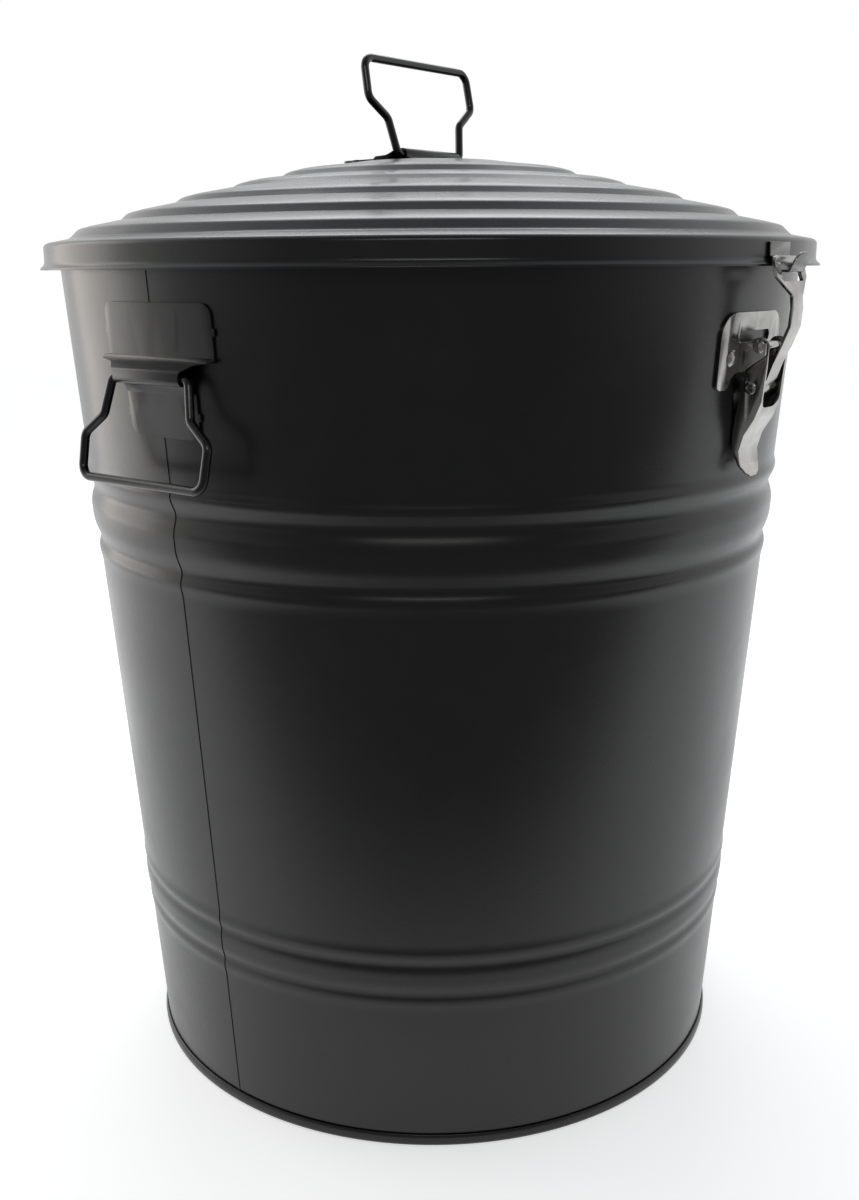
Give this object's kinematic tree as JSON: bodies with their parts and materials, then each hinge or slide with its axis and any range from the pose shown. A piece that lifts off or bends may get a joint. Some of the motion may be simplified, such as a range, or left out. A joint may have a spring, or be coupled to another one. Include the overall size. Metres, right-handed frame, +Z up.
{
  "type": "lidded steel bin",
  "caption": "Tapered round steel bin with rolled swages, a stepped lid held by toggle latches, and hinged wire bails on the sides and the lid.",
  "frame": {"origin": "on the bin's axis at the floor", "axes": "+Z up along the axis, +X through the right side handle, -Y through the front latch"},
  "size_m": [0.4494, 0.4678, 0.5811],
  "materials": {
    "can_coat": "matt powder coat",
    "lid_coat": "satin powder coat",
    "strap_coat": "satin powder coat",
    "wire_coat": "semi-gloss",
    "plated_steel": "bright zinc plated"
  },
  "bodies": {
    "can": {"can_wall": "can_coat", "base_pan": "can_coat", "left_handle_plate": "strap_coat", "right_handle_plate": "strap_coat", "front_latch_base": "plated_steel", "front_latch_rivets": "plated_steel", "front_lever_pin": "plated_steel", "rear_latch_base": "plated_steel", "rear_latch_rivets": "plated_steel", "rear_lever_pin": "plated_steel"},
    "lid": {"lid_shell": "lid_coat", "lid_handle_plate": "strap_coat", "front_catch": "plated_steel", "rear_catch": "plated_steel"},
    "lid_bail": {"lid_bail": "wire_coat"},
    "left_bail": {"left_bail": "wire_coat"},
    "right_bail": {"right_bail": "wire_coat"},
    "front_lever": {"front_lever": "plated_steel", "front_claw_pin": "plated_steel"},
    "rear_lever": {"rear_lever": "plated_steel", "rear_claw_pin": "plated_steel"},
    "front_claw": {"front_claw": "plated_steel"},
    "rear_claw": {"rear_claw": "plated_steel"}
  },
  "joints": [
    {"name": "lid_lift", "type": "slide", "parent": "can", "child": "lid", "axis": [0, 0, 1], "range_m": [0, 0.012]},
    {"name": "lid_bail_swing", "type": "hinge", "parent": "lid", "child": "lid_bail", "pos_m": [0, 0, 0.5285], "axis": [1, 0, 0], "range_deg": [-38, 85]},
    {"name": "left_bail_swing", "type": "hinge", "parent": "can", "child": "left_bail", "pos_m": [-0.21273, 0, 0.416], "axis": [0, 1, 0], "range_deg": [-8, 120]},
    {"name": "right_bail_swing", "type": "hinge", "parent": "can", "child": "right_bail", "pos_m": [0.21273, 0, 0.416], "axis": [0, -1, 0], "range_deg": [-8, 120]},
    {"name": "front_lever_swing", "type": "hinge", "parent": "can", "child": "front_lever", "pos_m": [0, -0.21821, 0.4278], "axis": [-1, 0, 0], "range_deg": [0, 81.93]},
    {"name": "front_claw_swing", "type": "hinge", "parent": "front_lever", "child": "front_claw", "pos_m": [0, -0.2136, 0.4072], "axis": [-1, 0, 0], "range_deg": [-60.35, 0]},
    {"name": "rear_lever_swing", "type": "hinge", "parent": "can", "child": "rear_lever", "pos_m": [0, 0.21821, 0.4278], "axis": [1, 0, 0], "range_deg": [0, 81.93]},
    {"name": "rear_claw_swing", "type": "hinge", "parent": "rear_lever", "child": "rear_claw", "pos_m": [0, 0.2136, 0.4072], "axis": [1, 0, 0], "range_deg": [-60.35, 0]}
  ],
  "couplings": [
    {"joint": "front_lever_swing", "follows": "lid_lift", "rad_per_m": 118.44},
    {"joint": "front_claw_swing", "follows": "lid_lift", "rad_per_m": -87.052},
    {"joint": "rear_lever_swing", "follows": "lid_lift", "rad_per_m": 118.44},
    {"joint": "rear_claw_swing", "follows": "lid_lift", "rad_per_m": -87.052}
  ]
}
